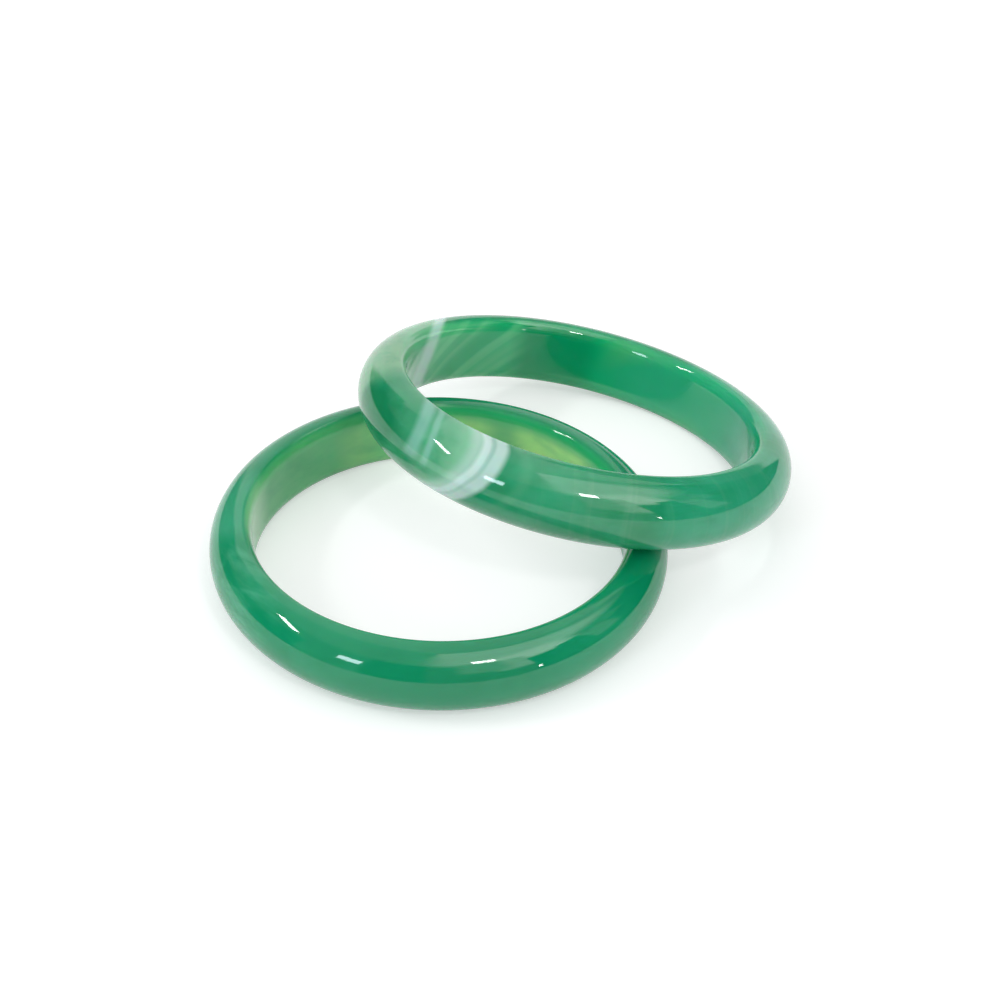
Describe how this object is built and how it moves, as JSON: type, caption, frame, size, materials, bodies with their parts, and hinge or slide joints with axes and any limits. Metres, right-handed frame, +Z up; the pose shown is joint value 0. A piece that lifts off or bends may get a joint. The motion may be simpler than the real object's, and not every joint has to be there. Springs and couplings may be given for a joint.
{
  "type": "bangle bracelet pair",
  "caption": "Pair of slip-on carved stone bangles with flat bores and domed outer faces, one lying flat and one leaning on it.",
  "frame": {"origin": "middle of the pair's footprint, on the surface that it stands on", "axes": "+Z up, along the lower bangle's axis; +X from the lower bangle towards the side where the upper one leans down to the table; +Y completes the right-handed set"},
  "size_m": [0.1024, 0.0728, 0.0266],
  "materials": {
    "green_agate": "polished",
    "banded_agate": "polished"
  },
  "bodies": {
    "lower": {"lower_bangle": "green_agate"},
    "upper": {"upper_bangle": "banded_agate"}
  },
  "joints": [
    {"name": "upper_bangle_lift", "type": "slide", "parent": "lower", "child": "upper", "axis": [0, 0, 1], "range_m": [0, 0.06]}
  ]
}
